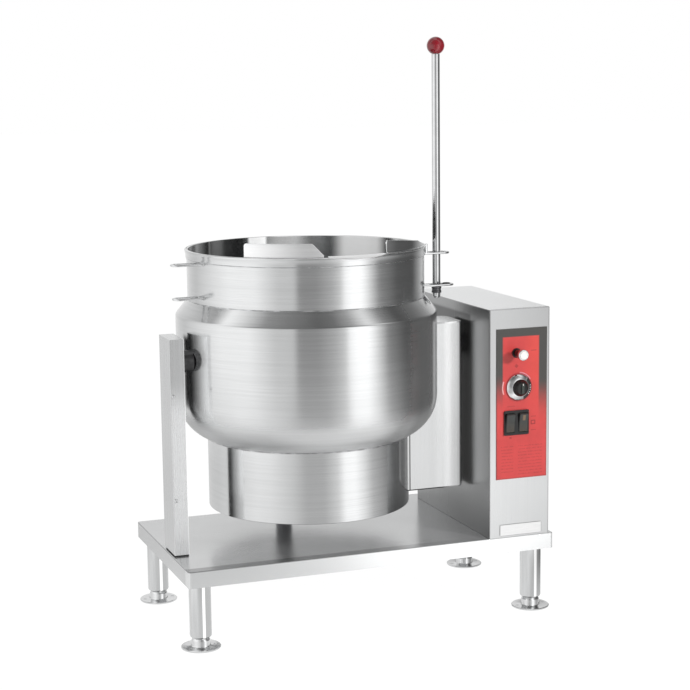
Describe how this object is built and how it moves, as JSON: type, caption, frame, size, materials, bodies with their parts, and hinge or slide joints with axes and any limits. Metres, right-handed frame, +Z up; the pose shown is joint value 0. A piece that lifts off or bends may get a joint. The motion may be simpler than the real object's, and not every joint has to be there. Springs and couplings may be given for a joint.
{
  "type": "tilting steam jacketed kettle",
  "caption": "Electric steam jacketed cooking kettle that tilts on trunnions over a table stand, with a control console, pouring lip and tilt handle.",
  "frame": {"origin": "on the floor, at the middle of the whole machine's footprint", "axes": "+Z up, +X from the post towards the control console, -Y towards the pouring side where the operator stands"},
  "size_m": [0.7574, 0.5604, 1.1269],
  "materials": {
    "brushed_stainless": "satin brushed stainless steel",
    "shell_stainless": "finely brushed stainless steel, turned round the shell",
    "polished_steel": "polished",
    "dark_steel": "dull machined steel",
    "bronze": "machined bronze",
    "brass": "cast brass",
    "black_plastic": "moulded",
    "grey_plastic": "moulded",
    "black_rubber": "matt",
    "red_overlay": "printed control overlay, fine textured",
    "red_ball": "glossy moulded",
    "lamp_white": "white lens",
    "clear_glass": "clear"
  },
  "bodies": {
    "stand": {"stand_table": "brushed_stainless", "leg_front_left": "brushed_stainless", "leg_front_right": "brushed_stainless", "leg_rear_left": "brushed_stainless", "leg_rear_right": "brushed_stainless", "post_cover": "brushed_stainless", "post_upright": "brushed_stainless", "left_bearing": "dark_steel", "left_bushing": "bronze", "console_shell": "brushed_stainless", "console_rear_cover": "brushed_stainless", "console_upright": "dark_steel", "right_bearing": "dark_steel", "right_bushing": "bronze", "cable_gland": "black_plastic", "control_overlay": "red_overlay", "name_plate": "polished_steel", "lamp_bezel": "polished_steel", "lamp_lens": "lamp_white", "switch_frame": "black_plastic", "component_plate": "brushed_stainless", "contactor": "black_plastic", "terminal_block": "grey_plastic", "thermostat_body": "grey_plastic", "kettle_rest": "dark_steel", "rest_bumper": "black_rubber"},
    "kettle": {"kettle_bowl": "shell_stainless", "rim_band": "shell_stainless", "steam_jacket": "shell_stainless", "element_skirt": "shell_stainless", "skirt_bottom_cover": "brushed_stainless", "heating_element": "dark_steel", "element_flange": "dark_steel", "trunnion_housing": "brushed_stainless", "trunnion_right": "dark_steel", "trunnion_left": "brushed_stainless", "pour_lip": "shell_stainless", "pour_guard_left": "shell_stainless", "pour_guard_right": "shell_stainless", "handle_loop_upper_left": "polished_steel", "handle_loop_lower_left": "polished_steel", "handle_loop_upper_right": "polished_steel", "handle_loop_lower_right": "polished_steel", "tilt_handle_rod": "polished_steel", "handle_pin": "dark_steel", "handle_collar": "dark_steel", "handle_ball": "red_ball", "safety_valve": "brass", "pressure_gauge": "polished_steel", "gauge_glass": "clear_glass"},
    "dial": {"knob_skirt": "polished_steel", "knob_grip": "black_plastic", "thermostat_shaft": "dark_steel"},
    "left_rocker": {"rocker_left": "black_plastic"},
    "right_rocker": {"rocker_right": "black_plastic"},
    "front_left_foot": {"foot_front_left": "polished_steel"},
    "front_right_foot": {"foot_front_right": "polished_steel"},
    "rear_left_foot": {"foot_rear_left": "polished_steel"},
    "rear_right_foot": {"foot_rear_right": "polished_steel"},
    "valve_lever": {"safety_valve_lever": "polished_steel"}
  },
  "joints": [
    {"name": "kettle_tilt", "type": "hinge", "parent": "stand", "child": "kettle", "pos_m": [0, -0.0745, 0.525], "axis": [1, 0, 0], "range_deg": [0, 90]},
    {"name": "dial_turn", "type": "hinge", "parent": "stand", "child": "dial", "pos_m": [0.295, -0.22445, 0.4544], "axis": [0, 1, 0], "range_deg": [0, 270]},
    {"name": "left_rocker_tip", "type": "hinge", "parent": "stand", "child": "left_rocker", "pos_m": [0.27587, -0.22325, 0.38525], "axis": [-1, 0, 0], "range_deg": [0, 16]},
    {"name": "right_rocker_tip", "type": "hinge", "parent": "stand", "child": "right_rocker", "pos_m": [0.30362, -0.22325, 0.38525], "axis": [-1, 0, 0], "range_deg": [0, 16]},
    {"name": "front_left_foot_screw", "type": "slide", "parent": "stand", "child": "front_left_foot", "axis": [0, 0, -1], "range_m": [0, 0.025]},
    {"name": "front_right_foot_screw", "type": "slide", "parent": "stand", "child": "front_right_foot", "axis": [0, 0, -1], "range_m": [0, 0.025]},
    {"name": "rear_left_foot_screw", "type": "slide", "parent": "stand", "child": "rear_left_foot", "axis": [0, 0, -1], "range_m": [0, 0.025]},
    {"name": "rear_right_foot_screw", "type": "slide", "parent": "stand", "child": "rear_right_foot", "axis": [0, 0, -1], "range_m": [0, 0.025]},
    {"name": "valve_lever_lift", "type": "hinge", "parent": "kettle", "child": "valve_lever", "pos_m": [-0.1236, 0.2652, 0.658], "axis": [0, -1, 0], "range_deg": [0, 35], "stiffness_Nm_per_rad": 0.05}
  ]
}
